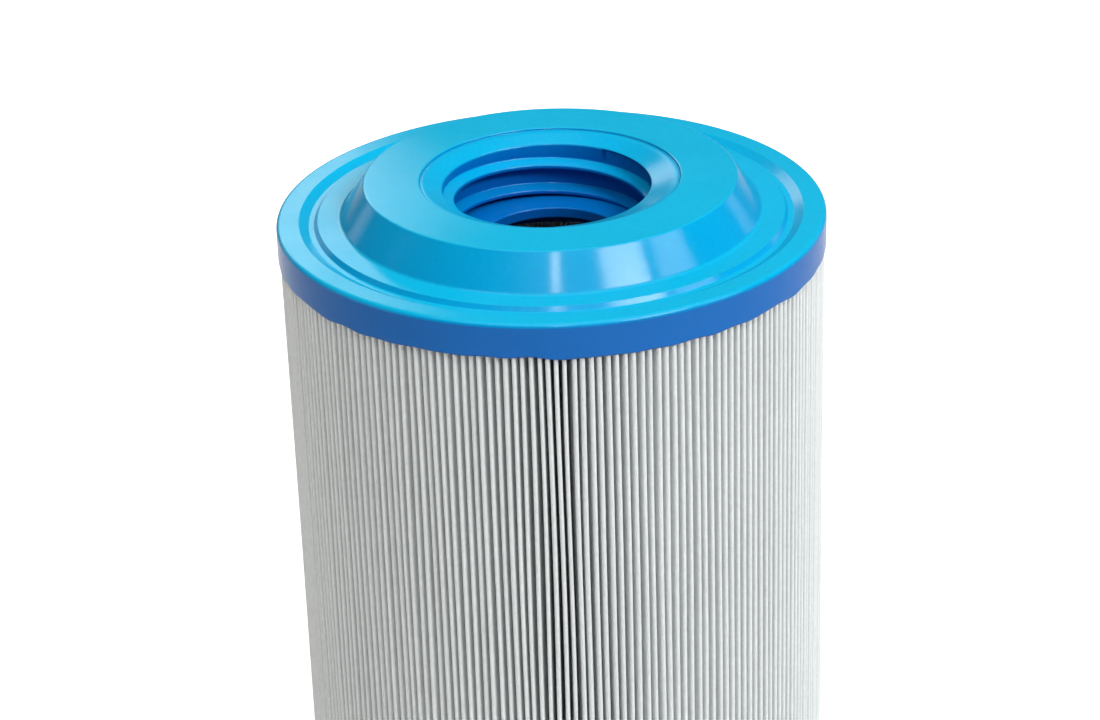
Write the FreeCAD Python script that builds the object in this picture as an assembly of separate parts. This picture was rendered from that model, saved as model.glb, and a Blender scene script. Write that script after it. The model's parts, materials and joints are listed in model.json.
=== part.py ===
import FreeCAD, Part
import math
import os

# Filter cartridge with a threaded end: a pleated pack round a perforated core, both ends potted in cast resin.
# Millimetres. The origin is the centre of the closed end's resting face, and +Z runs up to the threaded mouth.

# ---- driving dimensions ----
OVERALL_LENGTH = 235.0
BODY_RADIUS = 62.5
BOSS_HEIGHT = 8.0
RIM_HEIGHT = 7.8
CLOSED_CAP_HEIGHT = 12.0
POTTING_DEPTH = 3.0

# threaded end cap, measured outwards from the axis
SLOPE_TOP_RADIUS = 42.3
SLOPE_FOOT_RADIUS = 47.9
GROOVE_INNER_RADIUS = 53.1
GROOVE_OUTER_RADIUS = 57.3
GROOVE_DEPTH = 1.1

# thread insert
MOUTH_RADIUS = 30.0
MOUTH_LIP = 0.3
MOUTH_SETBACK = 0.4
MOUTH_RING_HEIGHT = 2.4
THROAT_RADIUS = 24.5
THROAT_DROP = 2.15
THREAD_PITCH = 25.4 / 4
THREAD_CREST_RADIUS = 21.9
THREAD_LAND = 3.0
THREAD_FLANK_DEG = 20.0
THREAD_LEVEL_AT_BACK = 2.05
BARREL_RADIUS = 27.2
STOP_RADIUS = 16.2
STOP_DEPTH = 16.0
STOP_THICKNESS = 1.6
ANCHOR_RADIUS = 34.5
ANCHOR_HEIGHT = 2.5
ANCHOR_TOP = -2.0
ANCHOR_NOTCHES = 12
ANCHOR_NOTCH_RADIUS = 1.8
BARREL_TAIL = 4.4
RIB_COUNT = 8
RIB_THICKNESS = 1.6

# core tube and plug
CORE_OUTER_RADIUS = 32.0
CORE_WALL = 2.2
WINDOWS_AROUND = 12
WINDOW_ROWS = 17
WINDOW_WIDTH = 9.0
WINDOW_HEIGHT = 7.0
WINDOW_CORNER = 1.5
CORE_END_BAND = 14.0
PLUG_FLOOR = 2.0
PLUG_SPIGOT_HEIGHT = 6.0
PLUG_SPIGOT_WALL = 2.4
SLIP_GAP = 0.3

# pleated media
PLEATS = 210
MEDIA_THICKNESS = 0.4
PLEAT_TIP_RADIUS = 62.2
PLEAT_ROOT_RADIUS = 32.4
TIP_FOLD_RADIUS = 0.45
ROOT_FOLD_RADIUS = 0.245

# seam that closes the folded strip
SEAM_ANGLE = math.radians(90.0)
SEAM_BOND_GAP = 0.1
SEAM_THICKNESS = 0.35
SEAM_DEPTH = 6.0

# ---- levels along the axis ----
RIM_TOP = OVERALL_LENGTH - BOSS_HEIGHT
ANCHOR_BOTTOM = ANCHOR_TOP - ANCHOR_HEIGHT
MOUTH_TOP = BOSS_HEIGHT - MOUTH_SETBACK
THROAT_TOP = MOUTH_TOP - THROAT_DROP
STOP_TOP = BOSS_HEIGHT - STOP_DEPTH
MEDIA_BOTTOM = CLOSED_CAP_HEIGHT
MEDIA_TOP = RIM_TOP - RIM_HEIGHT
PLUG_BOTTOM = CLOSED_CAP_HEIGHT - POTTING_DEPTH
CORE_BOTTOM = PLUG_BOTTOM + PLUG_FLOOR
CORE_TOP = RIM_TOP + ANCHOR_BOTTOM
CORE_INNER_RADIUS = CORE_OUTER_RADIUS - CORE_WALL

ORIGIN = FreeCAD.Vector(0, 0, 0)
Z_AXIS = FreeCAD.Vector(0, 0, 1)


def rounded_wire(corners):
    """A closed wire in the XZ plane. Each corner is (x, z) or (x, z, fillet radius)."""
    points = [FreeCAD.Vector(c[0], 0, c[1]) for c in corners]
    fillets = [c[2] if len(c) == 3 else 0.0 for c in corners]
    starts, ends, arcs = [], [], []
    for i, (corner, radius) in enumerate(zip(points, fillets)):
        back = (points[i - 1] - corner).normalize()
        ahead = (points[(i + 1) % len(points)] - corner).normalize()
        half = back.getAngle(ahead) / 2
        setback = radius / math.tan(half)
        starts.append(corner + back * setback)
        ends.append(corner + ahead * setback)
        if radius:
            inward = (back + ahead).normalize()
            middle = corner + inward * (radius / math.sin(half) - radius)
            arcs.append(Part.Arc(starts[i], middle, ends[i]).toShape())
        else:
            arcs.append(None)
    edges = []
    for i, arc in enumerate(arcs):
        if arc:
            edges.append(arc)
        following = starts[(i + 1) % len(starts)]
        if (following - ends[i]).Length > 1e-6:
            edges.append(Part.makeLine(ends[i], following))
    return Part.Wire(edges)


def turned(corners, level=0.0):
    """The solid of revolution of an outline about the axis, raised to a level."""
    solid = Part.Face(rounded_wire(corners)).revolve(ORIGIN, Z_AXIS, 360)
    solid.translate(FreeCAD.Vector(0, 0, level))
    return solid


def around_axis(shape, count, first=0.0):
    """Copies of a shape at even steps about the axis."""
    copies = []
    for i in range(count):
        copy = shape.copy()
        copy.rotate(ORIGIN, Z_AXIS, first + 360.0 * i / count)
        copies.append(copy)
    return copies


# ---- thread insert ----
def thread_ridge():
    """The inward ridge of the coarse right-hand thread, run out through the countersink above and the stop below."""
    root = THROAT_RADIUS + 0.6
    tip = THREAD_CREST_RADIUS - 0.8
    spread = math.tan(math.radians(THREAD_FLANK_DEG))
    half_root = THREAD_LAND / 2 + (root - THREAD_CREST_RADIUS) * spread
    half_tip = THREAD_LAND / 2 - (THREAD_CREST_RADIUS - tip) * spread
    section = Part.makePolygon([
        FreeCAD.Vector(tip, 0, -half_tip),
        FreeCAD.Vector(root, 0, -half_root),
        FreeCAD.Vector(root, 0, half_root),
        FreeCAD.Vector(tip, 0, half_tip),
        FreeCAD.Vector(tip, 0, -half_tip),
    ])
    lowest = STOP_TOP - half_root / 2
    highest = THROAT_TOP + half_root
    path = Part.makeHelix(THREAD_PITCH, highest - lowest, root)
    ridge = Part.Wire(path).makePipeShell([section], True, True)
    ridge.rotate(ORIGIN, Z_AXIS, 90.0 - 360.0 * (THREAD_LEVEL_AT_BACK - lowest) / THREAD_PITCH)
    ridge.translate(FreeCAD.Vector(0, 0, lowest))

    crest_bore = Part.makeCylinder(THREAD_CREST_RADIUS, 4 * STOP_DEPTH, FreeCAD.Vector(0, 0, -2 * STOP_DEPTH))
    inside_stop = STOP_TOP - STOP_THICKNESS / 2
    below_stop = Part.makeCylinder(2 * root, STOP_DEPTH, FreeCAD.Vector(0, 0, inside_stop - STOP_DEPTH))
    cone_tip = MOUTH_TOP - THROAT_DROP * MOUTH_RADIUS / (MOUTH_RADIUS - THROAT_RADIUS)
    countersink = turned([
        (0, cone_tip), (MOUTH_RADIUS, MOUTH_TOP), (MOUTH_RADIUS, MOUTH_TOP + STOP_DEPTH), (0, MOUTH_TOP + STOP_DEPTH),
    ])
    return ridge.cut(crest_bore).cut(below_stop).cut(countersink)


def thread_insert():
    """A moulded socket: countersunk mouth, threaded barrel, stop ring, and an anchor flange that the resin grips."""
    mouth_outer = MOUTH_RADIUS + MOUTH_LIP
    stop_bottom = STOP_TOP - STOP_THICKNESS
    tail = stop_bottom - BARREL_TAIL
    insert = turned([
        (STOP_RADIUS, stop_bottom, 0.4),
        (THROAT_RADIUS, stop_bottom, 0.6),
        (THROAT_RADIUS, tail, 0.5),
        (BARREL_RADIUS, tail, 0.5),
        (BARREL_RADIUS, ANCHOR_BOTTOM),
        (ANCHOR_RADIUS, ANCHOR_BOTTOM),
        (ANCHOR_RADIUS, ANCHOR_TOP),
        (BARREL_RADIUS, ANCHOR_TOP),
        (BARREL_RADIUS, MOUTH_TOP - 5.0),
        (mouth_outer, MOUTH_TOP - MOUTH_RING_HEIGHT),
        (mouth_outer, MOUTH_TOP),
        (MOUTH_RADIUS, MOUTH_TOP),
        (THROAT_RADIUS, THROAT_TOP, 0.5),
        (THROAT_RADIUS, STOP_TOP, 0.5),
        (STOP_RADIUS, STOP_TOP, 0.4),
    ])
    rib_reach = CORE_INNER_RADIUS - SLIP_GAP
    rib = Part.makeBox(
        rib_reach - BARREL_RADIUS + 1.0, RIB_THICKNESS, ANCHOR_BOTTOM - tail - 1.0,
        FreeCAD.Vector(BARREL_RADIUS - 1.0, -RIB_THICKNESS / 2, tail + 1.0),
    )
    notch = Part.makeCylinder(
        ANCHOR_NOTCH_RADIUS, ANCHOR_HEIGHT + 2.0, FreeCAD.Vector(ANCHOR_RADIUS, 0, ANCHOR_BOTTOM - 1.0)
    )
    insert = insert.fuse(around_axis(rib, RIB_COUNT)).cut(around_axis(notch, ANCHOR_NOTCHES))
    insert = insert.fuse(thread_ridge()).removeSplitter()
    insert.translate(FreeCAD.Vector(0, 0, RIM_TOP))
    return insert


# ---- pleated media and its seam ----
def polar(radius, angle):
    return FreeCAD.Vector(radius * math.cos(angle), radius * math.sin(angle), 0)


def crossing_normal(first, second, radii_sum, turn):
    """The unit normal of the line that passes between two circles, on the side that turn says."""
    along = second - first
    lean = -turn * math.acos(radii_sum / along.Length)
    return FreeCAD.Rotation(Z_AXIS, math.degrees(lean)).multVec(along).normalize()


def pleat_side(offset):
    """One side of the folded strip from free end to free end, as edges. offset is outwards at the tips."""
    half_step = math.pi / PLEATS
    free_offset = (MEDIA_THICKNESS + SEAM_BOND_GAP) / 2
    circles = []
    for i in range(2 * PLEATS + 1):
        angle = SEAM_ANGLE + i * half_step
        if i in (0, 2 * PLEATS):
            circles.append((polar(PLEAT_TIP_RADIUS - 1.0, angle), free_offset, 1))
        elif i % 2:
            circles.append((polar(PLEAT_ROOT_RADIUS + ROOT_FOLD_RADIUS + MEDIA_THICKNESS / 2, angle), ROOT_FOLD_RADIUS, -1))
        else:
            circles.append((polar(PLEAT_TIP_RADIUS - TIP_FOLD_RADIUS - MEDIA_THICKNESS / 2, angle), TIP_FOLD_RADIUS, 1))
    legs = []
    for (centre, radius, way), (next_centre, next_radius, next_way) in zip(circles, circles[1:]):
        normal = crossing_normal(centre, next_centre, radius + next_radius, way)
        legs.append((centre + normal * (radius + way * offset), next_centre - normal * (next_radius + next_way * offset)))
    edges = []
    for i, leg in enumerate(legs):
        if i:
            centre, radius, way = circles[i]
            outward = centre * (way / centre.Length)
            edges.append(Part.Arc(legs[i - 1][1], centre + outward * (radius + way * offset), leg[0]).toShape())
        edges.append(Part.makeLine(*leg))
    return edges


def pleated_media():
    """One strip of media folded into radial pleats, from cap to cap."""
    outer = pleat_side(MEDIA_THICKNESS / 2)
    inner = pleat_side(-MEDIA_THICKNESS / 2)
    first_end = Part.makeLine(outer[0].Vertexes[0].Point, inner[0].Vertexes[0].Point)
    last_end = Part.makeLine(outer[-1].Vertexes[-1].Point, inner[-1].Vertexes[-1].Point)
    section = Part.Face(Part.Wire(Part.sortEdges([*outer, last_end, *inner, first_end])[0]))
    section.translate(FreeCAD.Vector(0, 0, MEDIA_BOTTOM))
    return section.extrude(FreeCAD.Vector(0, 0, MEDIA_TOP - MEDIA_BOTTOM))


def media_seam():
    """A folded binding strip, welded over the two free edges of the media for their whole length."""
    inside = MEDIA_THICKNESS + SEAM_BOND_GAP / 2
    outside = inside + SEAM_THICKNESS
    tip = PLEAT_TIP_RADIUS
    floor = tip - SEAM_THICKNESS
    back = tip - SEAM_DEPTH
    outer = rounded_wire([(back, -outside), (tip, -outside, 0.6), (tip, outside, 0.6), (back, outside)])
    inner = rounded_wire([(back - 1, -inside), (floor, -inside, 0.2), (floor, inside, 0.2), (back - 1, inside)])
    section = Part.Face(outer).cut(Part.Face(inner))
    section.rotate(ORIGIN, FreeCAD.Vector(1, 0, 0), 90)
    section.rotate(ORIGIN, Z_AXIS, math.degrees(SEAM_ANGLE))
    section.translate(FreeCAD.Vector(0, 0, MEDIA_BOTTOM))
    return section.extrude(FreeCAD.Vector(0, 0, MEDIA_TOP - MEDIA_BOTTOM))


# ---- core tube and plug ----
def window():
    """A cutter for one rounded window, pointing along +X."""
    across = WINDOW_WIDTH / 2
    up = WINDOW_HEIGHT / 2
    outline = rounded_wire([
        (-across, -up, WINDOW_CORNER), (across, -up, WINDOW_CORNER),
        (across, up, WINDOW_CORNER), (-across, up, WINDOW_CORNER),
    ])
    clearance = 2.0
    cutter = Part.Face(outline).extrude(FreeCAD.Vector(0, CORE_WALL + 2 * clearance, 0))
    cutter.translate(FreeCAD.Vector(0, CORE_INNER_RADIUS - clearance, 0))
    cutter.rotate(ORIGIN, Z_AXIS, -90)
    return cutter


def core_tube():
    """The perforated tube that carries the pleats from inside, with staggered rows of windows."""
    tube = turned([
        (CORE_INNER_RADIUS, CORE_BOTTOM, 0.4), (CORE_OUTER_RADIUS, CORE_BOTTOM),
        (CORE_OUTER_RADIUS, CORE_TOP), (CORE_INNER_RADIUS, CORE_TOP, 0.4),
    ])
    lowest = CORE_BOTTOM + CORE_END_BAND
    rise = (CORE_TOP - CORE_END_BAND - lowest) / (WINDOW_ROWS - 1)
    stagger = 180.0 / WINDOWS_AROUND
    cutters = []
    for row in range(WINDOW_ROWS):
        cutter = window()
        cutter.translate(FreeCAD.Vector(0, 0, lowest + row * rise))
        cutters += around_axis(cutter, WINDOWS_AROUND, first=stagger * (row % 2))
    return tube.cut(cutters)


def core_plug():
    """The moulded plug that shuts the core's lower end and keeps the resin out of it."""
    spigot = CORE_INNER_RADIUS - SLIP_GAP
    top = PLUG_FLOOR + PLUG_SPIGOT_HEIGHT
    return turned([
        (0, 0), (CORE_OUTER_RADIUS, 0), (CORE_OUTER_RADIUS, PLUG_FLOOR), (spigot, PLUG_FLOOR),
        (spigot, top, 0.8), (spigot - PLUG_SPIGOT_WALL, top, 0.4), (spigot - PLUG_SPIGOT_WALL, PLUG_FLOOR, 0.8),
        (0, PLUG_FLOOR),
    ], PLUG_BOTTOM)


# ---- cast end caps ----
def rim_corners(side):
    """The rim and its groove, from the outside inwards. side is 1 on an upper face and -1 on a lower one."""
    return [
        (BODY_RADIUS, 0, 1.0),
        (GROOVE_OUTER_RADIUS, 0, 0.3),
        (GROOVE_OUTER_RADIUS - 2.1, -side * GROOVE_DEPTH, 0.3),
        (GROOVE_INNER_RADIUS + 0.8, -side * GROOVE_DEPTH, 0.2),
        (GROOVE_INNER_RADIUS, 0, 0.2),
    ]


def threaded_end_cap(insert):
    """The cap cast round the thread insert: flat rim with a groove, sloped boss, and resin down to the pleats."""
    inside_insert = (THROAT_RADIUS + BARREL_RADIUS) / 2
    mouth_outer = MOUTH_RADIUS + MOUTH_LIP
    under_mouth = MOUTH_TOP - MOUTH_RING_HEIGHT
    cap = turned([
        (inside_insert, ANCHOR_BOTTOM), (CORE_OUTER_RADIUS, ANCHOR_BOTTOM),
        (CORE_OUTER_RADIUS, -RIM_HEIGHT), (BODY_RADIUS, -RIM_HEIGHT, 0.3),
        *rim_corners(1),
        (SLOPE_FOOT_RADIUS, 0, 1.2), (SLOPE_TOP_RADIUS, BOSS_HEIGHT, 0.8),
        (mouth_outer, BOSS_HEIGHT, 0.2), (mouth_outer, under_mouth), (inside_insert, under_mouth),
    ], RIM_TOP)
    return cap.cut(insert)


def closed_end_cap():
    """The cast cap of the closed end: it rests on a flat ring inside the groove, round a shallow dished centre."""
    dish_depth = 3.0
    return turned([
        (0, dish_depth), (SLOPE_TOP_RADIUS, dish_depth, 1.0), (SLOPE_TOP_RADIUS + dish_depth, 0, 0.6),
        *reversed(rim_corners(-1)),
        (BODY_RADIUS, CLOSED_CAP_HEIGHT, 0.3), (CORE_OUTER_RADIUS, CLOSED_CAP_HEIGHT),
        (CORE_OUTER_RADIUS, PLUG_BOTTOM), (0, PLUG_BOTTOM),
    ])


def main():
    os.makedirs("parts", exist_ok=True)
    insert = thread_insert()
    parts = {
        "threaded_end_cap": threaded_end_cap(insert),
        "thread_insert": insert,
        "pleated_media": pleated_media(),
        "media_seam": media_seam(),
        "core_tube": core_tube(),
        "core_plug": core_plug(),
        "closed_end_cap": closed_end_cap(),
    }
    for name, shape in parts.items():
        shape.exportStep(f"parts/{name}.step")
        box = shape.BoundBox
        print(f"{name}: {len(shape.Solids)} solid, valid {shape.isValid()}, {shape.Volume / 1000:.1f} cm3,"
              f" z {box.ZMin:.2f} to {box.ZMax:.2f}, r {box.XMax:.2f}, {len(shape.Faces)} faces")


main()
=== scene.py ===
import json
import math
import random

import bmesh
import bpy
import numpy as np
from mathutils import Matrix, Vector


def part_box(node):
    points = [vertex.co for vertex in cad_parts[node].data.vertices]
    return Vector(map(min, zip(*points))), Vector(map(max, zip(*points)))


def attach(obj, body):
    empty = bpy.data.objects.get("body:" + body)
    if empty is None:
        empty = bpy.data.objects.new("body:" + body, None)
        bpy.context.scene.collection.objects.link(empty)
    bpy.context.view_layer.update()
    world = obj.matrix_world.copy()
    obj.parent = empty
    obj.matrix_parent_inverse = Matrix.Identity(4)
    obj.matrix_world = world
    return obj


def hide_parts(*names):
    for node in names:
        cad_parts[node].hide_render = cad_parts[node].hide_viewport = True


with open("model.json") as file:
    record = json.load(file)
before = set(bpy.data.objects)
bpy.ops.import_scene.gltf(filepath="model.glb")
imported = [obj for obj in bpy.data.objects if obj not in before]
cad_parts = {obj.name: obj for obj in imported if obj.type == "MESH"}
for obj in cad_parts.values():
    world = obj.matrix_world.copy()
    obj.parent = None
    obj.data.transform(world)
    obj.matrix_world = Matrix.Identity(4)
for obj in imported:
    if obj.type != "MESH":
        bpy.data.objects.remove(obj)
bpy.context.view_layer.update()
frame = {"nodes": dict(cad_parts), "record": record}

# Filter cartridge: cast caps with turned mould marks, a moulded thread insert, folded media and its seam.
# Shapes are worked out in millimetres and stored in metres, in the same frame as the CAD model.
MM = 0.001
RANDOM = random.Random(20)


def box_mm(node):
    low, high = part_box(node)
    return low / MM, high / MM


# ---- sizes read from the frame ----
CAP_LOW, CAP_HIGH = box_mm("threaded_end_cap")
INSERT_LOW, INSERT_HIGH = box_mm("thread_insert")
MEDIA_LOW, MEDIA_HIGH = box_mm("pleated_media")
SEAM_LOW, SEAM_HIGH = box_mm("media_seam")
CORE_HIGH = box_mm("core_tube")[1]
PLUG_LOW = box_mm("core_plug")[0]
MOUNTS = {mount["name"]: mount for mount in frame["record"]["mounts"]}

BODY_RADIUS = CAP_HIGH.x
BOSS_TOP = CAP_HIGH.z
SKIRT_BOTTOM = CAP_LOW.z
MOUTH_TOP = INSERT_HIGH.z
INSERT_TAIL = INSERT_LOW.z
ANCHOR_RADIUS = INSERT_HIGH.x
CORE_RADIUS = CORE_HIGH.x
ANCHOR_BOTTOM = CORE_HIGH.z
CREST_RADIUS = MOUNTS["thread_socket"]["dims"]["r_mm"]

# ---- sizes of the end caps ----
BOSS_HEIGHT = 8.0
RIM_TOP = BOSS_TOP - BOSS_HEIGHT
SLOPE_TOP_RADIUS = 42.3
SLOPE_FOOT_RADIUS = 47.9
GROOVE_OUTER_RADIUS = 57.3
GROOVE_INNER_RADIUS = 53.1
GROOVE_DEPTH = 1.1
GROOVE_OUTER_SLOPE = 2.1
GROOVE_INNER_SLOPE = 0.8
LIP_WIDTH = 1.4
LIP_SLOPE = 0.6
CREEP_MEAN = 0.35
CREEP_HEIGHT = 0.62
DISH_DEPTH = 3.0

# ---- sizes of the thread insert ----
MOUTH_RADIUS = 29.2
MOUTH_LIP = 0.3
MOUTH_RING_HEIGHT = 2.4
MOUTH_TAPER_DEPTH = 5.0
EDGE_ROUNDING = 0.45
THROAT_RADIUS = 24.5
THROAT_TOP = MOUTH_TOP - 1.75
THREAD_PITCH = 25.4 / 4
THREAD_LAND = 0.9
THREAD_FLANK = math.radians(18.0)
THREAD_LEVEL_AT_BACK = RIM_TOP + 1.15
BARREL_RADIUS = 27.2
STOP_RADIUS = 15.6
STOP_TOP = BOSS_TOP - 14.5
STOP_BOTTOM = STOP_TOP - 2.6
ANCHOR_TOP = ANCHOR_BOTTOM + 2.5
ANCHOR_NOTCHES = 12
ANCHOR_NOTCH_RADIUS = 1.8
RIBS = 8
RIB_THICKNESS = 1.6
RIB_RADIUS = 29.5

# ---- sizes of the media ----
PLEATS = 210
MEDIA_THICKNESS = 0.4
TIP_RADIUS = MEDIA_HIGH.x
ROOT_RADIUS = 32.4
TIP_FOLD_RADIUS = 0.27
ROOT_FOLD_RADIUS = 0.245
FOLD_JITTER = 0.13
FOLD_WANDER = 0.22
TIP_DROP_SPREAD = 0.12
TIP_DROP_WANDER = 0.1
FREE_END_INSET = 1.0
STILL_FOLDS = 8
TIP_STEPS = 8
ROOT_STEPS = 2
MEDIA_ROWS = 19
SEAM_ANGLE = math.radians(90.0)
SEAM_BOND_GAP = 0.1
SEAM_THICKNESS = 0.35
SEAM_ROW_STEP = 0.5

# ---- mesh density, and where the lights and the camera point ----
COLUMNS = 480
LEAD = 0.06
TARGET = Vector((0, 0, RIM_TOP * MM))


# ---- mesh helpers ----
def unit(vector):
    return vector / np.linalg.norm(vector)


def outline(corners, steps=5):
    """Points of a closed outline. A corner is (r, z) or (r, z, fillet), and a fillet becomes an arc."""
    points = []
    for i, corner in enumerate(corners):
        here = np.array(corner[:2], float)
        if len(corner) == 2:
            points.append(here)
            continue
        back = unit(np.array(corners[i - 1][:2], float) - here)
        ahead = unit(np.array(corners[(i + 1) % len(corners)][:2], float) - here)
        half = math.acos(float(np.clip(back @ ahead, -1, 1))) / 2
        reach = corner[2] / math.tan(half)
        if reach < LEAD / 10:
            points += [here] * (steps + 3)
            continue
        centre = here + unit(back + ahead) * (corner[2] / math.sin(half))
        first, last = here + back * reach, here + ahead * reach
        start = math.atan2(first[1] - centre[1], first[0] - centre[0])
        sweep = math.remainder(math.atan2(last[1] - centre[1], last[0] - centre[0]) - start, 2 * math.pi)
        points.append(first + back * LEAD)
        for k in range(steps + 1):
            angle = start + sweep * k / steps
            points.append(centre + corner[2] * np.array([math.cos(angle), math.sin(angle)]))
        points.append(last + ahead * LEAD)
    return np.array(points)


def make_piece(name, points, faces, material, sharp_deg=40.0):
    """A closed mesh from points in millimetres, with its faces turned outwards, riding on the cartridge."""
    mesh = bpy.data.meshes.new(name)
    mesh.from_pydata((np.asarray(points) * MM).tolist(), [], faces)
    piece = bpy.data.objects.new(name, mesh)
    bpy.context.scene.collection.objects.link(piece)
    clean = bmesh_of(mesh)
    clean.to_mesh(mesh)
    clean.free()
    mesh.shade_smooth()
    mesh.set_sharp_from_angle(angle=math.radians(sharp_deg))
    mesh.materials.append(material)
    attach(piece, "root")
    return piece


def bmesh_of(mesh):
    """The mesh with points that coincide merged, and faces turned so that its volume is positive."""
    made = bmesh.new()
    made.from_mesh(mesh)
    bmesh.ops.remove_doubles(made, verts=made.verts, dist=1e-7)
    if made.calc_volume(signed=True) < 0:
        bmesh.ops.reverse_faces(made, faces=made.faces)
    return made


def ring_faces(columns, rows):
    """Quads of a grid that closes both ways, where point number = column * rows + row."""
    faces = []
    for column in range(columns):
        here = column * rows
        following = (column + 1) % columns * rows
        for row in range(rows):
            next_row = (row + 1) % rows
            faces.append((here + row, following + row, following + next_row, here + next_row))
    return faces


def around(angle, section):
    """Points (r, z) of a section, turned about the axis to an angle."""
    return np.column_stack([section[:, 0] * math.cos(angle), section[:, 0] * math.sin(angle), section[:, 1]])


def lathed(name, corners_at, material):
    """A turned piece whose outline may change a little with the angle."""
    angles = [2 * math.pi * column / COLUMNS for column in range(COLUMNS)]
    sections = [outline(corners_at(angle)) for angle in angles]
    points = np.vstack([around(angle, section) for angle, section in zip(angles, sections)])
    return make_piece(name, points, ring_faces(COLUMNS, len(sections[0])), material)


# ---- end caps ----
def wave(orders, height):
    """A smooth random wave round the rim, from about -height to height."""
    parts = [(order, RANDOM.uniform(0, 2 * math.pi), RANDOM.uniform(0.6, 1.0)) for order in orders]
    total = sum(weight for _, _, weight in parts)
    return lambda angle: height * sum(w * math.sin(n * angle + p) for n, p, w in parts) / total


def rim(level, side):
    """The rim and its groove, from the outside inwards. side is 1 on an upper face and -1 on a lower one."""
    floor = level - side * GROOVE_DEPTH
    return [
        (BODY_RADIUS, level, 1.0),
        (GROOVE_OUTER_RADIUS, level, 0.3),
        (GROOVE_OUTER_RADIUS - GROOVE_OUTER_SLOPE, floor, 0.3),
        (GROOVE_INNER_RADIUS + GROOVE_INNER_SLOPE, floor, 0.2),
        (GROOVE_INNER_RADIUS, level, 0.2),
    ]


def skirt(level, creep, side):
    """The wavy edge where the resin crept along the pleats, from inside outwards."""
    edge = level - side * creep
    lip = BODY_RADIUS - LIP_WIDTH
    return [(lip - LIP_SLOPE, level), (lip, edge), (BODY_RADIUS, edge, 0.35)]


def flange_radius(angle):
    """The rim of the insert's anchor flange, with its round notches."""
    step = 2 * math.pi / ANCHOR_NOTCHES
    off = math.remainder(angle, step)
    across = ANCHOR_RADIUS * math.sin(off)
    if abs(across) >= ANCHOR_NOTCH_RADIUS:
        return ANCHOR_RADIUS
    return ANCHOR_RADIUS * math.cos(off) - math.sqrt(ANCHOR_NOTCH_RADIUS ** 2 - across ** 2)


def threaded_end_cap(material):
    creep = wave((4, 7, 13, 19, 26, 33, 43), CREEP_HEIGHT)
    mouth_outer = MOUTH_RADIUS + MOUTH_LIP

    def corners(angle):
        flange = flange_radius(angle)
        return [
            (flange, ANCHOR_BOTTOM), (CORE_RADIUS, ANCHOR_BOTTOM), (CORE_RADIUS, SKIRT_BOTTOM),
            *skirt(SKIRT_BOTTOM, CREEP_MEAN + creep(angle), 1),
            *rim(RIM_TOP, 1),
            (SLOPE_FOOT_RADIUS, RIM_TOP, 1.2), (SLOPE_TOP_RADIUS, BOSS_TOP, 0.6),
            (mouth_outer, BOSS_TOP, 0.4), (mouth_outer, MOUTH_TOP - MOUTH_RING_HEIGHT),
            (BARREL_RADIUS, MOUTH_TOP - MOUTH_TAPER_DEPTH), (BARREL_RADIUS, ANCHOR_TOP), (flange, ANCHOR_TOP),
        ]

    piece = lathed("threaded_cap_cast", corners, material)
    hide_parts("threaded_end_cap")


def closed_end_cap(material):
    creep = wave((3, 8, 12, 21, 27, 35, 45), CREEP_HEIGHT)
    cap_top = MEDIA_LOW.z

    def corners(angle):
        return [
            (0, DISH_DEPTH), (SLOPE_TOP_RADIUS, DISH_DEPTH, 1.0), (SLOPE_TOP_RADIUS + DISH_DEPTH, 0, 0.6),
            *reversed(rim(0.0, -1)),
            *reversed(skirt(cap_top, CREEP_MEAN + creep(angle), -1)),
            (CORE_RADIUS, cap_top), (CORE_RADIUS, PLUG_LOW.z), (0, PLUG_LOW.z),
        ]

    piece = lathed("closed_cap_cast", corners, material)
    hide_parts("closed_end_cap")


# ---- thread insert ----
def ridge_form():
    """One pitch of the thread as (height from the crest's middle, reach inwards from the throat), rounded."""
    depth = THROAT_RADIUS - CREST_RADIUS
    half_crest = THREAD_LAND / 2
    half_root = half_crest + depth * math.tan(THREAD_FLANK)
    half_pitch = THREAD_PITCH / 2
    far = -10.0
    form = outline([
        (-half_pitch, far), (-half_pitch, 0), (-half_root, 0, 0.45), (-half_crest, depth, 0.3),
        (half_crest, depth, 0.5), (half_root, 0, 0.45), (half_pitch, 0), (half_pitch, far),
    ], steps=6)
    return form[2:-2]


def cone_height(radius):
    """The height of the countersink at a radius."""
    return MOUTH_TOP - (MOUTH_RADIUS - radius) * (MOUTH_TOP - THROAT_TOP) / (MOUTH_RADIUS - THROAT_RADIUS)


def wall_at(angle, form):
    """The threaded wall at an angle, from the stop ring up to the countersink.

    Gives keys that follow the thread, the points, and the countersink's edge."""
    level = THREAD_LEVEL_AT_BACK + THREAD_PITCH * (angle / (2 * math.pi) - 0.25)
    rows = []
    for turn in range(-4, 4):
        for k, (rise, reach) in enumerate(form):
            point = np.array([THROAT_RADIUS - reach, level + turn * THREAD_PITCH + rise])
            rows.append((turn * len(form) + k, point))
    start = next(i for i, (_, p) in enumerate(rows) if p[1] > STOP_TOP)
    stop = next(i for i, (_, p) in enumerate(rows) if i > start and p[1] > cone_height(p[0]))
    below, above = rows[start - 1][1], rows[start][1]
    foot = below + (above - below) * (STOP_TOP - below[1]) / (above[1] - below[1])
    inside, outside = rows[stop - 1][1], rows[stop][1]
    under = cone_height(inside[0]) - inside[1]
    over = outside[1] - cone_height(outside[0])
    edge = inside + (outside - inside) * under / (under + over)
    kept = [row for row in rows[start:stop] if np.linalg.norm(row[1] - edge) > EDGE_ROUNDING * 1.2]
    lead_in = edge + unit(kept[-1][1] - edge) * EDGE_ROUNDING
    keys = [-math.inf, *[key for key, _ in kept], math.inf]
    return keys, [foot, *[point for _, point in kept], lead_in], edge


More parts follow.
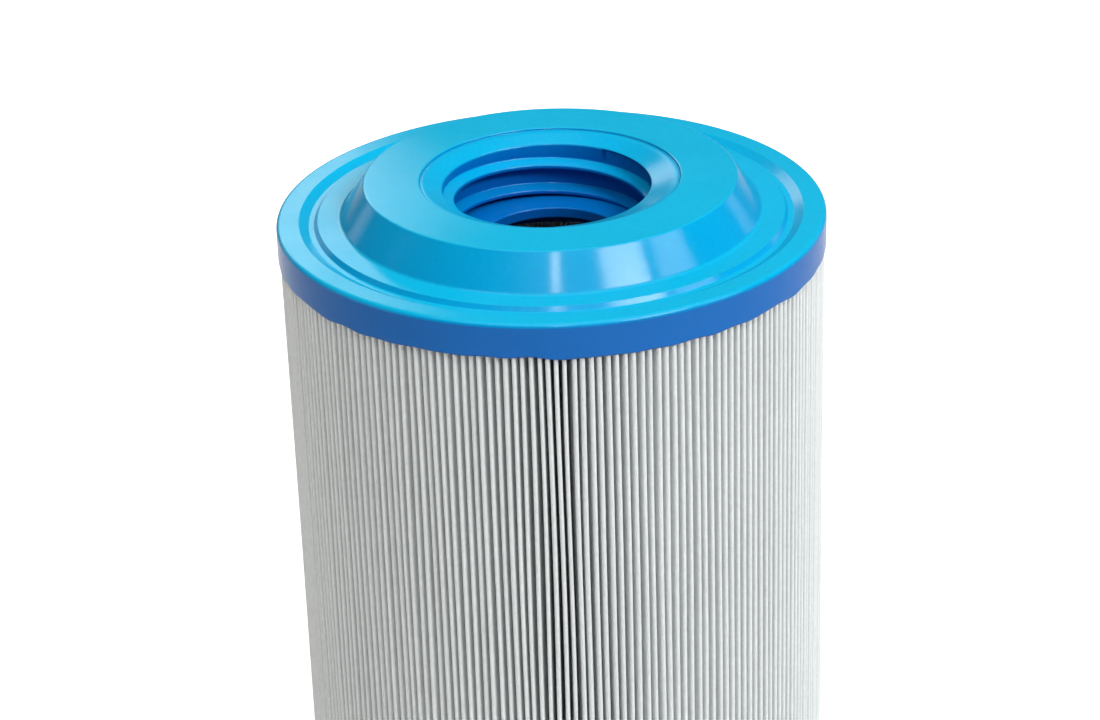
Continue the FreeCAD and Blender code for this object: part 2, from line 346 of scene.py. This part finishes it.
def zipped(keys_a, first_a, keys_b, first_b):
    """Faces between two columns of keyed points: quads where the keys agree, and triangles elsewhere."""
    faces = []
    i = j = 0
    while i < len(keys_a) - 1 or j < len(keys_b) - 1:
        next_a = keys_a[i + 1] if i < len(keys_a) - 1 else math.inf
        next_b = keys_b[j + 1] if j < len(keys_b) - 1 else math.inf
        a, b = first_a + i, first_b + j
        if next_a == next_b and i < len(keys_a) - 1 and j < len(keys_b) - 1:
            faces.append((a, b, b + 1, a + 1))
            i, j = i + 1, j + 1
        elif next_a < next_b or j == len(keys_b) - 1:
            faces.append((a, b, a + 1))
            i += 1
        else:
            faces.append((a, b, b + 1))
            j += 1
    return faces


def insert_shell(angle, foot, lead_in, edge):
    """The rest of the insert's section, from the countersink over the outside to the stop ring's upper face."""
    outer = np.array([MOUTH_RADIUS, MOUTH_TOP])
    lead_out = edge + unit(outer - edge) * EDGE_ROUNDING
    bend = [(1 - t) ** 2 * lead_in + 2 * t * (1 - t) * edge + t ** 2 * lead_out for t in (0.25, 0.5, 0.75)]
    cone = [lead_out + (outer - lead_out) * t for t in (0.02, 0.35, 0.7, 0.95)]
    flange = flange_radius(angle)
    near_rib = abs(BARREL_RADIUS * math.sin(math.remainder(angle, 2 * math.pi / RIBS))) < RIB_THICKNESS / 2
    rib = RIB_RADIUS if near_rib else BARREL_RADIUS
    mouth_outer = MOUTH_RADIUS + MOUTH_LIP
    body = outline([
        (MOUTH_RADIUS, MOUTH_TOP, 0.1), (mouth_outer, MOUTH_TOP, 0.1),
        (mouth_outer, MOUTH_TOP - MOUTH_RING_HEIGHT),
        (BARREL_RADIUS, MOUTH_TOP - MOUTH_TAPER_DEPTH), (BARREL_RADIUS, ANCHOR_TOP),
        (flange, ANCHOR_TOP, 0.3), (flange, ANCHOR_BOTTOM, 0.3), (rib, ANCHOR_BOTTOM),
        (rib, INSERT_TAIL + 1.0), (BARREL_RADIUS, INSERT_TAIL + 0.9),
        (BARREL_RADIUS, INSERT_TAIL, 0.5), (THROAT_RADIUS, INSERT_TAIL, 0.5), (THROAT_RADIUS, STOP_BOTTOM, 0.6),
        (STOP_RADIUS, STOP_BOTTOM, 0.4), (STOP_RADIUS, STOP_TOP, 0.4), (THROAT_RADIUS, STOP_TOP),
    ])[:-1]
    shelf = body[-1]
    face = [shelf + (foot - shelf) * t for t in (0.3, 0.6, 0.93)]
    return np.vstack([bend, [lead_out], cone, body, face])


def thread_insert(material):
    """The moulded socket. Its rows follow the thread, so one turn later they meet the next pitch's rows."""
    form = ridge_form()
    columns = []
    for column in range(COLUMNS):
        angle = 2 * math.pi * column / COLUMNS
        keys, wall, edge = wall_at(angle, form)
        shell = insert_shell(angle, wall[0], wall[-1], edge)
        columns.append((keys, around(angle, np.vstack([wall, shell])), len(wall)))
    firsts = np.cumsum([0, *[len(points) for _, points, _ in columns]]).tolist()
    faces = []
    for column, (keys, points, wall_rows) in enumerate(columns):
        following = (column + 1) % COLUMNS
        next_keys, next_points, next_wall_rows = columns[following]
        if following == 0:
            next_keys = [key - len(form) for key in next_keys]
        here, there = firsts[column], firsts[following]
        faces += zipped(keys, here, next_keys, there)
        shell_rows = len(points) - wall_rows
        for row in range(-1, shell_rows):
            a, b = here + wall_rows + row, there + next_wall_rows + row
            if row == shell_rows - 1:
                faces.append((a, b, there, here))
            else:
                faces.append((a, b, b + 1, a + 1))
    all_points = np.vstack([points for _, points, _ in columns])
    piece = make_piece("thread_insert_moulded", all_points, faces, material, sharp_deg=50.0)
    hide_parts("thread_insert")


# ---- pleated media ----
class Folds:
    """The places and sizes of the strip's folds, which wander a little along the cartridge's height."""

    def __init__(self):
        rng = np.random.default_rng(11)
        count = 2 * PLEATS + 1
        self.step = math.pi / PLEATS
        index = np.arange(count)
        self.is_tip = index % 2 == 0
        self.turns = np.where(self.is_tip, 1.0, -1.0)
        self.angles = SEAM_ANGLE + index * self.step
        self.angles[1:-1] += rng.uniform(-FOLD_JITTER, FOLD_JITTER, count - 2) * self.step
        self.radii = np.where(self.is_tip, TIP_FOLD_RADIUS * rng.uniform(0.8, 1.25, count), ROOT_FOLD_RADIUS)
        self.drops = np.where(self.is_tip, np.abs(rng.normal(0, TIP_DROP_SPREAD, count)), 0.0)
        self.waves = [
            (2 * math.pi / rng.uniform(9, 40), 2 * math.pi / rng.uniform(70, 190), rng.uniform(0, 2 * math.pi))
            for _ in range(6)
        ]
        free = [0, count - 1]
        self.radii[free] = (MEDIA_THICKNESS + SEAM_BOND_GAP) / 2
        self.drops[free] = FREE_END_INSET - (self.radii[free] + MEDIA_THICKNESS / 2)

    def at(self, height):
        """The fold circles' centres at a height."""
        index = np.arange(len(self.angles))
        wander = sum(np.sin(a * index + b * height + phase) for a, b, phase in self.waves) / len(self.waves)
        fade = np.minimum(1.0, np.minimum(index, index[::-1]) / STILL_FOLDS)
        angles = self.angles + FOLD_WANDER * self.step * wander * fade
        reach = np.where(
            self.is_tip,
            TIP_RADIUS - self.drops - self.radii - MEDIA_THICKNESS / 2 - TIP_DROP_WANDER * (1 + wander) * fade,
            ROOT_RADIUS + self.radii + MEDIA_THICKNESS / 2,
        )
        return np.column_stack([reach * np.cos(angles), reach * np.sin(angles)])

    def side(self, height, offset):
        """One face of the strip at a height, from free end to free end. offset is outwards at the tips."""
        centres = self.at(height)
        along = centres[1:] - centres[:-1]
        length = np.linalg.norm(along, axis=1)
        lean = -self.turns[:-1] * np.arccos((self.radii[:-1] + self.radii[1:]) / length)
        along /= length[:, None]
        normal = np.column_stack([
            along[:, 0] * np.cos(lean) - along[:, 1] * np.sin(lean),
            along[:, 0] * np.sin(lean) + along[:, 1] * np.cos(lean),
        ])
        spread = self.radii + self.turns * offset
        starts = centres[:-1] + normal * spread[:-1, None]
        ends = centres[1:] - normal * spread[1:, None]
        points = [starts[:1]]
        for i in range(1, len(centres) - 1):
            centre = centres[i]
            steps = TIP_STEPS if self.is_tip[i] else ROOT_STEPS
            middle = math.atan2(*(centre * self.turns[i])[::-1])
            first = math.remainder(math.atan2(*(ends[i - 1] - centre)[::-1]) - middle, 2 * math.pi)
            last = math.remainder(math.atan2(*(starts[i] - centre)[::-1]) - middle, 2 * math.pi)
            turn = middle + np.linspace(first, last, steps + 1)
            points.append(centre + spread[i] * np.column_stack([np.cos(turn), np.sin(turn)]))
        points.append(ends[-1:])
        return np.vstack(points)


def pleated_media(material):
    """The folded strip as one closed sheet, with rows closer together near the caps."""
    folds = Folds()
    low, high = MEDIA_LOW.z, MEDIA_HIGH.z
    evenly = [row / (MEDIA_ROWS - 1) for row in range(MEDIA_ROWS)]
    heights = [low + (high - low) * (0.25 * (1 - math.cos(math.pi * share)) + 0.5 * share) for share in evenly]
    rows = []
    for height in heights:
        outer = folds.side(height, MEDIA_THICKNESS / 2)
        inner = folds.side(height, -MEDIA_THICKNESS / 2)
        ring = np.vstack([outer, inner[::-1]])
        rows.append(np.column_stack([ring, np.full(len(ring), height)]))
    ring_size = len(rows[0])
    faces = []
    for row in range(MEDIA_ROWS - 1):
        first = row * ring_size
        for k in range(ring_size):
            following = (k + 1) % ring_size
            faces.append((first + k, first + following, first + ring_size + following, first + ring_size + k))
    for first in (0, (MEDIA_ROWS - 1) * ring_size):
        for k in range(ring_size // 2 - 1):
            mirror = ring_size - 1 - k
            quad = (first + k, first + mirror, first + mirror - 1, first + k + 1)
            faces.append(quad if first == 0 else quad[::-1])
    piece = make_piece("media_folded", np.vstack(rows), faces, material, sharp_deg=60.0)
    strip = folds.side(low, 0.0)
    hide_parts("pleated_media")


def media_seam(material):
    """The folded binding over the strip's two free edges, with a row of weld pits along both sides."""
    outside = SEAM_HIGH.x
    inside = outside - SEAM_THICKNESS
    tip, back = SEAM_HIGH.y, SEAM_LOW.y
    floor_y = tip - SEAM_THICKNESS
    section = outline([
        (back, -outside), (tip, -outside, 0.6), (tip, outside, 0.6), (back, outside),
        (back, inside), (floor_y, inside, 0.2), (floor_y, -inside, 0.2), (back, -inside),
    ])
    pit_spacing, pit_reach, pit_depth = 3.0, 0.9, 0.14
    rows = int((SEAM_HIGH.z - SEAM_LOW.z) / SEAM_ROW_STEP) + 1
    points = []
    for row in range(rows):
        height = SEAM_LOW.z + (SEAM_HIGH.z - SEAM_LOW.z) * row / (rows - 1)
        pit = max(0.0, 1 - (math.remainder(height, pit_spacing) / pit_reach) ** 2) * pit_depth
        sway = 0.04 * math.sin(height / 9) + 0.03 * math.sin(height / 3.7 + 1)
        for y, x in section:
            press = pit if abs(x) > inside + 0.1 and y < tip - 0.7 else 0.0
            points.append((math.copysign(abs(x) - press, x) + sway, y, height))
    count = len(section)
    faces = []
    for row in range(rows - 1):
        for k in range(count):
            following = (k + 1) % count
            first = row * count
            faces.append((first + k, first + following, first + count + following, first + count + k))
    faces.append(tuple(range(count))[::-1])
    faces.append(tuple(range((rows - 1) * count, rows * count)))
    piece = make_piece("seam_binding", points, faces, material)
    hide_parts("media_seam")


# ---- materials ----
class Shader:
    """A material's node tree with a short way to add nodes."""

    def __init__(self, name):
        self.material = bpy.data.materials.new(name)
        self.material.use_nodes = True
        self.tree = self.material.node_tree
        self.surface = self.tree.nodes["Principled BSDF"]
        self.place = self.add("ShaderNodeTexCoord").outputs["Object"]

    def add(self, kind, inputs=(), **settings):
        """A new node. inputs are (socket, value or another node's output) pairs."""
        made = self.tree.nodes.new(kind)
        for key, value in settings.items():
            setattr(made, key, value)
        self.feed(made, inputs)
        return made

    def feed(self, made, inputs):
        for socket, value in inputs:
            if isinstance(value, bpy.types.NodeSocket):
                self.tree.links.new(value, made.inputs[socket])
            else:
                made.inputs[socket].default_value = value

    def noise(self, scale, detail=2.0, roughness=0.5, place=None):
        made = self.add("ShaderNodeTexNoise", [
            ("Vector", place or self.place), ("Scale", scale), ("Detail", detail), ("Roughness", roughness),
        ])
        return made.outputs["Fac"]

    def ranged(self, value, low, high, to_low, to_high):
        made = self.add("ShaderNodeMapRange", [
            ("Value", value), ("From Min", low), ("From Max", high), ("To Min", to_low), ("To Max", to_high),
        ])
        return made.outputs["Result"]

    def maths(self, operation, first, second=0.0):
        made = self.add("ShaderNodeMath", [(0, first), (1, second)], operation=operation)
        return made.outputs[0]

    def ramp(self, value, stops):
        made = self.add("ShaderNodeValToRGB", [("Fac", value)])
        elements = made.color_ramp.elements
        for i, (position, colour) in enumerate(stops):
            element = elements[i] if i < 2 else elements.new(position)
            element.position = position
            element.color = (*colour, 1.0)
        return made.outputs["Color"]

    def scaled(self, colour, factor):
        made = self.add("ShaderNodeVectorMath", [(0, colour), ("Scale", factor)], operation="SCALE")
        return made.outputs["Vector"]

    def bumped(self, layers):
        """Bump layers as (height output, depth in metres), laid over one another."""
        normal = None
        for height, depth in layers:
            made = self.add("ShaderNodeBump", [("Height", height), ("Distance", depth), ("Strength", 1.0)])
            if normal:
                self.feed(made, [("Normal", normal)])
            normal = made.outputs["Normal"]
        self.feed(self.surface, [("Normal", normal)])

    def upward(self):
        """How far the surface faces up, from -1 to 1."""
        normal = self.add("ShaderNodeNewGeometry").outputs["Normal"]
        return self.add("ShaderNodeSeparateXYZ", [(0, normal)]).outputs["Z"]

    def painted_shade_by_height(self, low, high, tone_low, tone_high):
        """A painted shade tone that runs with the height, from one level to another, in metres."""
        height = self.add("ShaderNodeSeparateXYZ", [(0, self.place)]).outputs["Z"]
        return self.ranged(height, low, high, tone_low, tone_high)

    def rings(self):
        """Coordinates (radius, height) that only change across the turned marks."""
        parts = self.add("ShaderNodeSeparateXYZ", [(0, self.place)])
        flat = self.add("ShaderNodeCombineXYZ", [(0, parts.outputs["X"]), (1, parts.outputs["Y"])])
        radius = self.add("ShaderNodeVectorMath", [(0, flat.outputs[0])], operation="LENGTH").outputs["Value"]
        return self.add("ShaderNodeCombineXYZ", [(0, radius), (2, parts.outputs["Z"])]).outputs[0]


def coloured_plastic(name, stops, roughness, grain_depth, mark_depth, painted_depth_shade=None):
    """A glossy blue plastic with turned marks and grain, and painted light and shade in its colour: upward
    faces are painted paler, as if lit from above, and walls and downward faces deeper, as if in shade.

    The last argument holds levels and tones (low, high, tone low, tone high) for painted shade that deepens
    down the socket."""
    shader = Shader(name)
    cloud = shader.noise(26.0, 3.0)
    fleck = shader.noise(900.0, 2.0)
    cloud_tone = shader.ranged(cloud, 0.3, 0.7, 0.96, 1.04)
    fleck_tone = shader.ranged(fleck, 0.3, 0.7, 0.97, 1.03)
    tone = shader.maths("MULTIPLY", cloud_tone, fleck_tone)
    # Painted light and shade: the colour ramp runs from shaded tones on walls and downward faces to lit, paler
    # tones on upward faces.
    painted_light_share = shader.ranged(shader.upward(), -0.2, 1.0, 0.0, 1.0)
    # Painted shade: the lit share fades down the socket, so deeper faces get darker tones.
    if painted_depth_shade:
        painted_light_share = shader.maths("MULTIPLY", painted_light_share, shader.painted_shade_by_height(*painted_depth_shade))
    colour = shader.scaled(shader.ramp(painted_light_share, stops), tone)
    marks = shader.noise(2600.0, 2.0, 0.6, shader.rings())
    grain = shader.noise(2400.0, 3.0, 0.6)
    smear = shader.noise(60.0, 4.0, 0.6)
    uneven = shader.maths("ADD", smear, shader.maths("MULTIPLY", grain, 0.5))
    shader.feed(shader.surface, [
        ("Base Color", colour),
        ("Roughness", shader.ranged(uneven, 0.5, 1.0, *roughness)),
        ("Specular IOR Level", 0.22),
        ("Anisotropic", 0.7),
        ("Anisotropic Rotation", 0.25),
        ("Tangent", shader.add("ShaderNodeTangent", direction_type="RADIAL", axis="Z").outputs[0]),
    ])
    shader.bumped([(grain, grain_depth), (marks, mark_depth)])
    return shader.material


def polyester(name, pale, shade, sheen):
    """Non-woven polyester: clumped fibres, a fine bonded grain and a soft nap."""
    shader = Shader(name)
    clump = shader.noise(700.0, 4.0, 0.65)
    fibre = shader.noise(3600.0, 3.0, 0.7)
    drift = shader.noise(18.0, 2.0)
    bond = shader.add("ShaderNodeTexVoronoi", [("Vector", shader.place), ("Scale", 1100.0)]).outputs["Distance"]
    mixed = shader.maths("ADD", shader.maths("MULTIPLY", clump, 0.6), shader.maths("MULTIPLY", fibre, 0.4))
    colour = shader.ramp(shader.ranged(mixed, 0.35, 0.65, 0.0, 1.0), [(0.0, shade), (1.0, pale)])
    shader.feed(shader.surface, [
        ("Base Color", shader.scaled(colour, shader.ranged(drift, 0.3, 0.7, 0.96, 1.03))),
        ("Roughness", shader.ranged(fibre, 0.3, 0.7, 0.75, 0.95)),
        ("Specular IOR Level", 0.25),
        ("Sheen Weight", sheen),
        ("Sheen Roughness", 0.5),
        ("Subsurface Weight", 1.0),
        ("Subsurface Radius", (1.0, 1.0, 1.0)),
        ("Subsurface Scale", 1.5 * MM),
    ])
    shader.bumped([(clump, 0.10 * MM), (fibre, 0.05 * MM), (bond, 0.03 * MM)])
    return shader.material


def core_plastic(name):
    """Plain moulded plastic, off-white, with flow streaks along its length and fine specks."""
    shader = Shader(name)
    stretched = shader.add("ShaderNodeMapping", [("Vector", shader.place), ("Scale", (1.0, 1.0, 0.15))])
    streak = shader.noise(160.0, 4.0, 0.6, stretched.outputs[0])
    grain = shader.noise(2200.0, 2.0, 0.6)
    stops = [(0.0, (0.60, 0.58, 0.54)), (1.0, (0.70, 0.69, 0.66))]
    colour = shader.ramp(shader.ranged(streak, 0.3, 0.7, 0.0, 1.0), stops)
    shader.feed(shader.surface, [
        ("Base Color", colour),
        ("Roughness", shader.ranged(grain, 0.3, 0.7, 0.42, 0.6)),
    ])
    shader.bumped([(grain, 0.02 * MM)])
    return shader.material


# ---- stage ----
def floor():
    """A plain pale floor, wide enough for every view."""
    shader = Shader("floor_pale")
    soft = shader.noise(3.0, 2.0)
    seen = shader.add("ShaderNodeLightPath").outputs["Is Camera Ray"]
    shader.feed(shader.surface, [
        ("Base Color", shader.ramp(soft, [(0.0, (0.90, 0.90, 0.90)), (1.0, (0.93, 0.93, 0.93))])),
        ("Roughness", 0.9),
        ("Specular IOR Level", 0.1),
        ("Emission Color", (1.0, 1.0, 1.0, 1.0)),
        ("Emission Strength", shader.maths("MULTIPLY", seen, 0.6)),
    ])
    sides, reach = 96, 6.0
    points = [(reach * math.cos(2 * math.pi * k / sides), reach * math.sin(2 * math.pi * k / sides), 0)
              for k in range(sides)]
    mesh = bpy.data.meshes.new("floor")
    mesh.from_pydata(points, [], [tuple(range(sides))])
    mesh.materials.append(shader.material)
    piece = bpy.data.objects.new("floor", mesh)
    bpy.context.scene.collection.objects.link(piece)


def direction(azimuth, elevation):
    """A unit vector. Azimuth 0 is +Y, behind the cartridge, and 90 is +X, in degrees."""
    a, e = math.radians(azimuth), math.radians(elevation)
    return Vector((math.sin(a) * math.cos(e), math.cos(a) * math.cos(e), math.sin(e)))


def panel(name, azimuth, elevation, width, height, radiance, colour=(1, 1, 1), distance=1.6):
    """A rectangular light that faces the cap and isn't seen itself."""
    lamp = bpy.data.lights.new(name, "AREA")
    lamp.shape = "RECTANGLE"
    lamp.size, lamp.size_y = width, height
    lamp.energy = radiance * math.pi * width * height
    lamp.color = colour
    towards = direction(azimuth, elevation)
    holder = bpy.data.objects.new(name, lamp)
    facing = towards.to_track_quat("Z", "Y").to_matrix().to_4x4()
    holder.matrix_world = Matrix.Translation(TARGET + towards * distance) @ facing
    holder.visible_camera = False
    bpy.context.scene.collection.objects.link(holder)


def light_scene():
    sun = bpy.data.lights.new("key", "SUN")
    sun.energy = 1.5
    sun.angle = math.radians(75)
    holder = bpy.data.objects.new("key", sun)
    holder.rotation_mode = "QUATERNION"
    holder.rotation_quaternion = direction(150, 76).to_track_quat("Z", "Y")
    bpy.context.scene.collection.objects.link(holder)
    panel("window_front", 135, 41, 0.60, 0.34, 21.0, (0.94, 0.99, 1.0))
    panel("window_side", 105, 33, 0.54, 0.30, 7.0, (0.94, 0.99, 1.0))
    panel("strip_front", 178.5, 46, 0.07, 0.50, 27.0)
    panel("panel_back", -20, 24, 0.80, 0.40, 2.8, (1.0, 0.98, 0.95))
    panel("bounce_left", -100, 8, 1.1, 0.8, 0.7, (1.0, 0.88, 0.6))
    panel("low_left", -48, 6, 0.34, 0.16, 1.2, (1.0, 0.95, 0.9))
    panel("low_right", 50, 8, 0.34, 0.16, 1.2, (1.0, 0.95, 0.9))
    world = bpy.data.worlds.new("studio")
    world.use_nodes = True
    tree = world.node_tree
    fill = tree.nodes["Background"]
    fill.inputs["Color"].default_value = (0.97, 0.99, 1.0, 1.0)
    fill.inputs["Strength"].default_value = 0.1
    seen = tree.nodes.new("ShaderNodeBackground")
    seen.inputs["Color"].default_value = (1, 1, 1, 1)
    path = tree.nodes.new("ShaderNodeLightPath")
    mix = tree.nodes.new("ShaderNodeMixShader")
    tree.links.new(path.outputs["Is Camera Ray"], mix.inputs[0])
    tree.links.new(fill.outputs[0], mix.inputs[1])
    tree.links.new(seen.outputs[0], mix.inputs[2])
    tree.links.new(mix.outputs[0], tree.nodes["World Output"].inputs[0])
    bpy.context.scene.world = world


def camera():
    """A long lens, looking down on the cap from the front."""
    pitch, roll = math.radians(25.79), math.radians(-1.90)
    forward = Vector((0, math.cos(pitch), -math.sin(pitch)))
    up = Vector((0, math.sin(pitch), math.cos(pitch)))
    right = Vector((1, 0, 0))
    turned_right = math.cos(roll) * right + math.sin(roll) * up
    turned_up = math.cos(roll) * up - math.sin(roll) * right
    data = bpy.data.cameras.new("camera")
    data.sensor_width = 36.0
    data.lens = 99.8
    holder = bpy.data.objects.new("camera", data)
    basis = Matrix((turned_right, turned_up, -forward)).transposed().to_4x4()
    holder.matrix_world = Matrix.Translation(TARGET + Vector((-0.00137, -0.6397, 0.27075))) @ basis
    bpy.context.scene.collection.objects.link(holder)
    bpy.context.scene.camera = holder


# ---- the cartridge ----
# Painted light and shade: tones from walls in shade (0) to upward faces lit from above (1).
CAP_PAINTED_LIGHT_STOPS = [
    (0.0, (0.0, 0.08, 0.33)), (1.0, (0.004, 0.47, 0.74)), (0.17, (0.0, 0.12, 0.43)), (0.64, (0.0, 0.34, 0.64)),
]
# Painted light and shade for the insert: tones from walls in shade (0) to upward faces lit from above (1).
INSERT_PAINTED_LIGHT_STOPS = [
    (0.0, (0.0, 0.07, 0.32)), (1.0, (0.002, 0.46, 0.76)), (0.17, (0.0, 0.15, 0.50)), (0.7, (0.0, 0.38, 0.70)),
]
# Painted shade: levels and tones that darken the insert's colour down the socket, from the stop ring up to the
# throat.
INSERT_PAINTED_SHADE_DEPTHS = (STOP_TOP * MM, THROAT_TOP * MM, 0.16, 0.92)
cap_resin = coloured_plastic("cap_resin_cast", CAP_PAINTED_LIGHT_STOPS, (0.12, 0.24), 0.008 * MM, 0.006 * MM)
insert_plastic = coloured_plastic("insert_plastic_moulded", INSERT_PAINTED_LIGHT_STOPS, (0.16, 0.28), 0.004 * MM, 0.006 * MM,
                                  INSERT_PAINTED_SHADE_DEPTHS)
media_cloth = polyester("media_polyester", (0.78, 0.805, 0.805), (0.68, 0.70, 0.70), 0.05)
seam_cloth = polyester("seam_polyester", (0.84, 0.85, 0.83), (0.7, 0.71, 0.69), 0.1)
core_white = core_plastic("core_plastic_moulded")

threaded_end_cap(cap_resin)
thread_insert(insert_plastic)
closed_end_cap(cap_resin)
pleated_media(media_cloth)
media_seam(seam_cloth)
for node in ("core_tube", "core_plug"):
    frame["nodes"][node].material_slots[0].material = core_white

floor()
light_scene()
camera()
bpy.context.scene.view_settings.view_transform = "Standard"
